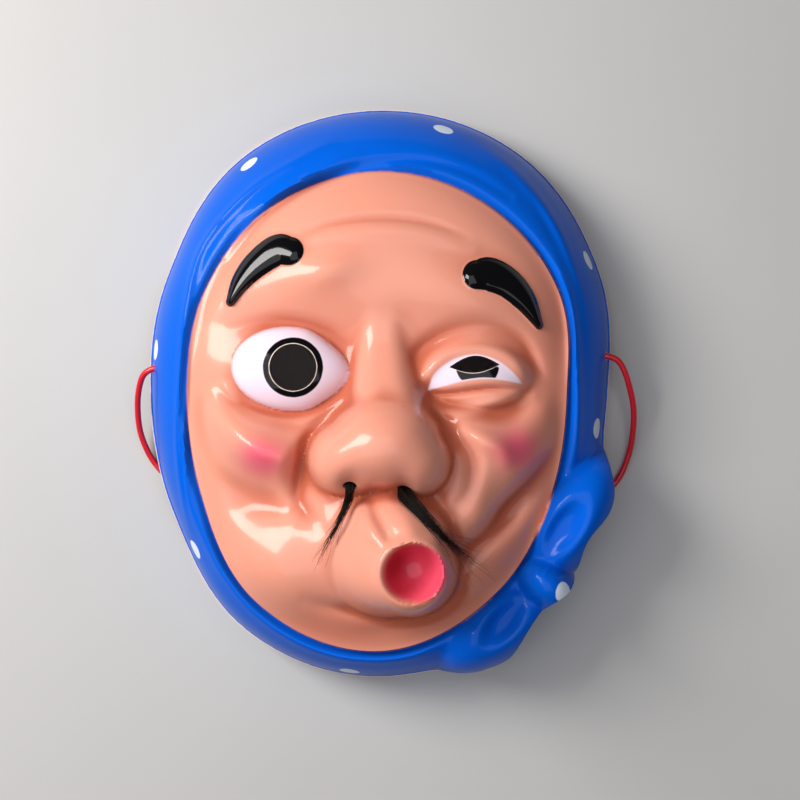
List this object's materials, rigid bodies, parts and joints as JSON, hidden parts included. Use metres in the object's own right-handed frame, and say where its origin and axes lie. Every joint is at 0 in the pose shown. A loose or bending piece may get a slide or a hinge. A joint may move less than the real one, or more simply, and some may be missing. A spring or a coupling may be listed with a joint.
{
  "type": "hyottoko mask",
  "caption": "Moulded plastic hyottoko face mask with puckered mouth, winking eye and knotted headscarf, on an elastic head cord.",
  "frame": {"origin": "centre of the sheet's rim box, on the surface it lies on", "axes": "+Z out of the face, +Y towards the top of the head, +X towards the right as the face is seen from the front"},
  "size_m": [0.2052, 0.2347, 0.0849],
  "materials": {
    "painted_sheet": "gloss peach plastic, painted blue, black, white and pink in places",
    "hair": "loose black synthetic hair",
    "elastic": "round red elastic, slightly shiny"
  },
  "bodies": {
    "root": {"mask_shell": "painted_sheet", "nostril_hair_left": "hair", "nostril_hair_right": "hair", "head_cord": "elastic", "cord_knot_left": "elastic", "cord_knot_right": "elastic"}
  },
  "joints": []
}
